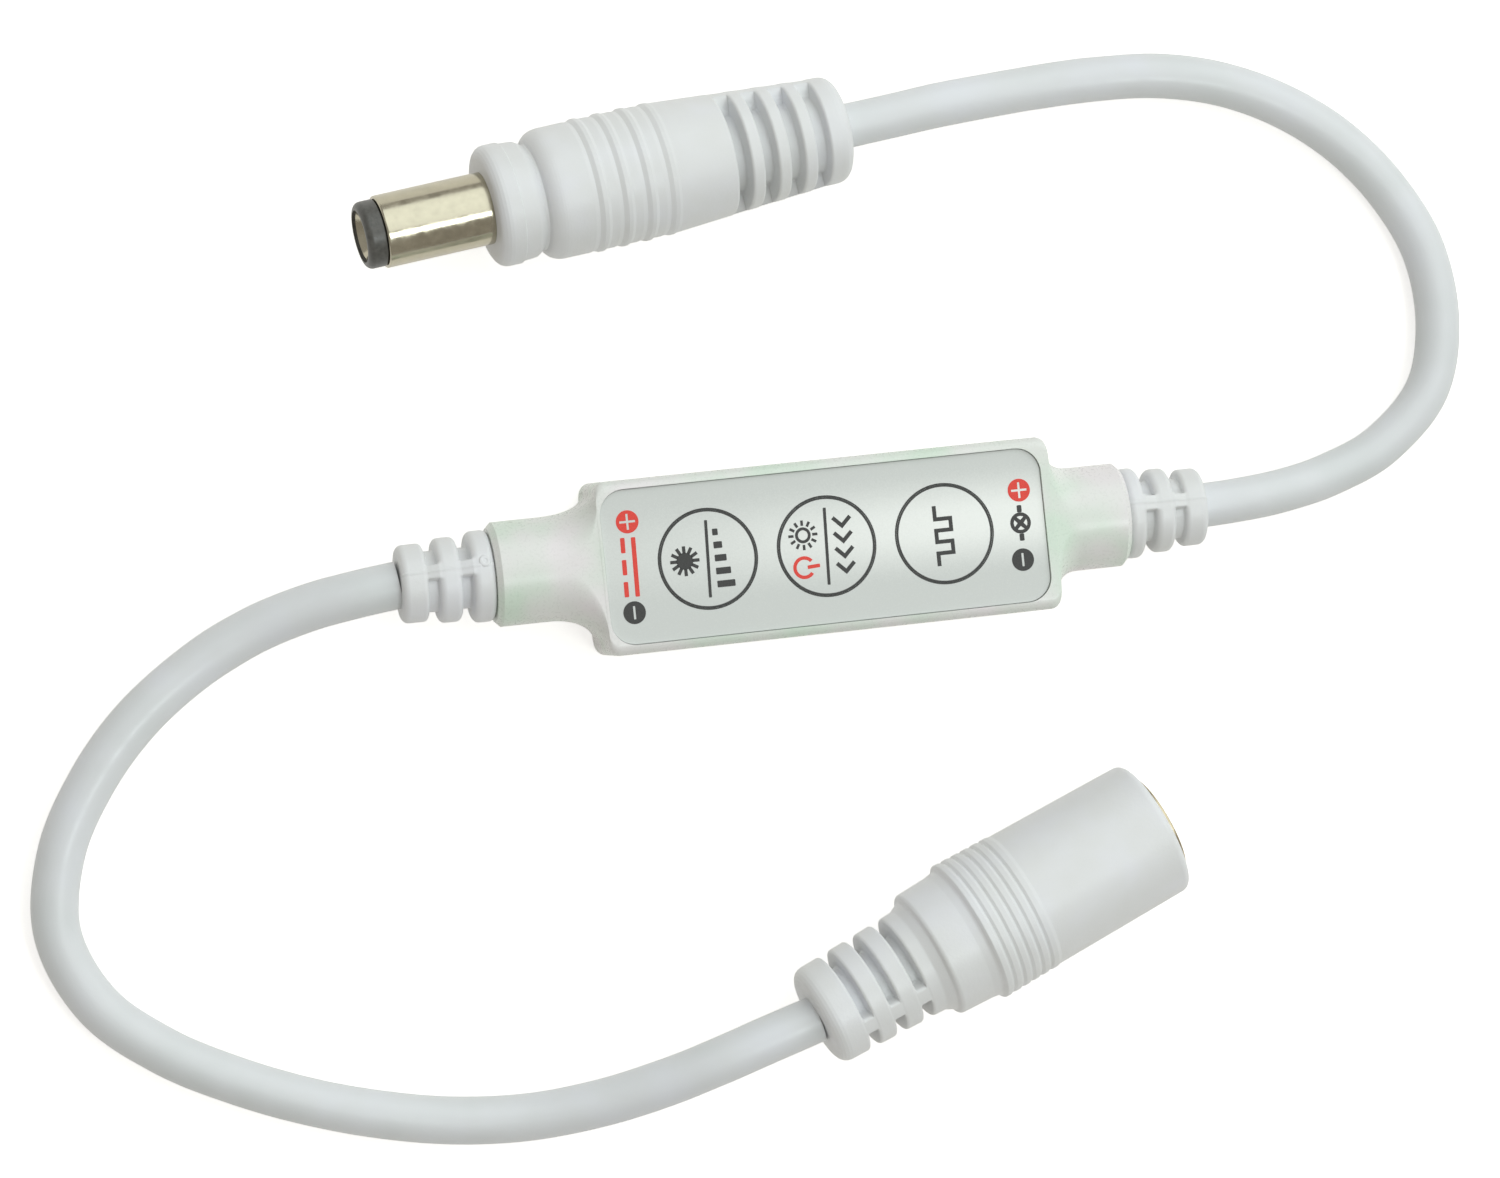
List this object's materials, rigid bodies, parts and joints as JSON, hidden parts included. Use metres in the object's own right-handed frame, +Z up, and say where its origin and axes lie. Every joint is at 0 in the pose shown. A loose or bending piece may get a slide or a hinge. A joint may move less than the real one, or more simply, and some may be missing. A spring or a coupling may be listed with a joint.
{
  "type": "in-line led strip dimmer",
  "caption": "Slim in-line dimmer with press keys on its face, a barrel socket on one lead and a barrel plug on the other, for a low-voltage lamp strip.",
  "frame": {"origin": "middle of the underside of the case and its strain reliefs, on the surface that it lies on, without the cords and connectors", "axes": "+X along the case from the supply side to the output side, +Y across the case, +Z up out of the keys"},
  "size_m": [0.1143, 0.0775, 0.0115],
  "materials": {
    "case_plastic": "white moulded plastic with a soft satin gloss",
    "overlay_film": "silver-grey printed film with a fine matte grain",
    "moulded_pvc": "white soft vinyl with a fine spark-eroded texture",
    "cord_jacket": "white extruded vinyl, smooth and slightly glossy",
    "nickel_plate": "warm nickel plate with fine turning marks",
    "black_plastic": "black moulded plastic",
    "grey_plastic": "dark grey moulded plastic",
    "spring_steel": "thin bright sheet",
    "tinned_copper": "tinned and soldered metal",
    "board_laminate": "green solder mask on glass laminate",
    "chip_plastic": "black moulding compound",
    "ceramic": "tan ceramic",
    "red_insulation": "red core insulation",
    "black_insulation": "black core insulation"
  },
  "bodies": {
    "housing": {"lower_case": "case_plastic", "upper_case": "case_plastic", "keypad_label": "overlay_film", "dim_switch_base": "black_plastic", "speed_switch_base": "black_plastic", "mode_switch_base": "black_plastic", "dim_switch_cover": "spring_steel", "speed_switch_cover": "spring_steel", "mode_switch_cover": "spring_steel", "dim_switch_dome": "spring_steel", "speed_switch_dome": "spring_steel", "mode_switch_dome": "spring_steel", "circuit_board": "board_laminate", "controller_chip": "chip_plastic", "power_transistors": "chip_plastic", "voltage_regulator": "chip_plastic", "capacitors": "ceramic", "resistors": "chip_plastic", "component_leads": "tinned_copper", "solder_joints": "tinned_copper", "supply_core_positive": "red_insulation", "supply_core_negative": "black_insulation", "output_core_positive": "red_insulation", "output_core_negative": "black_insulation", "supply_strain_relief": "moulded_pvc", "output_strain_relief": "moulded_pvc", "plug_body": "moulded_pvc", "socket_body": "moulded_pvc", "socket_cord": "cord_jacket", "plug_cord": "cord_jacket", "plug_barrel": "nickel_plate", "plug_inner_contact": "nickel_plate", "socket_shell": "nickel_plate", "socket_centre_pin": "nickel_plate", "socket_spring_contact": "nickel_plate", "plug_insulator": "black_plastic", "socket_insulator": "black_plastic"},
    "dim_key": {"dim_key_disc": "overlay_film", "dim_switch_plunger": "grey_plastic"},
    "speed_key": {"speed_key_disc": "overlay_film", "speed_switch_plunger": "grey_plastic"},
    "mode_key": {"mode_key_disc": "overlay_film", "mode_switch_plunger": "grey_plastic"}
  },
  "joints": [
    {"name": "dim_key_press", "type": "slide", "parent": "housing", "child": "dim_key", "axis": [0, 0, -1], "range_m": [0, 0.00025], "stiffness_N_per_m": 2000, "deforming": ["dim_switch_dome"]},
    {"name": "speed_key_press", "type": "slide", "parent": "housing", "child": "speed_key", "axis": [0, 0, -1], "range_m": [0, 0.00025], "stiffness_N_per_m": 2000, "deforming": ["speed_switch_dome"]},
    {"name": "mode_key_press", "type": "slide", "parent": "housing", "child": "mode_key", "axis": [0, 0, -1], "range_m": [0, 0.00025], "stiffness_N_per_m": 2000, "deforming": ["mode_switch_dome"]}
  ]
}
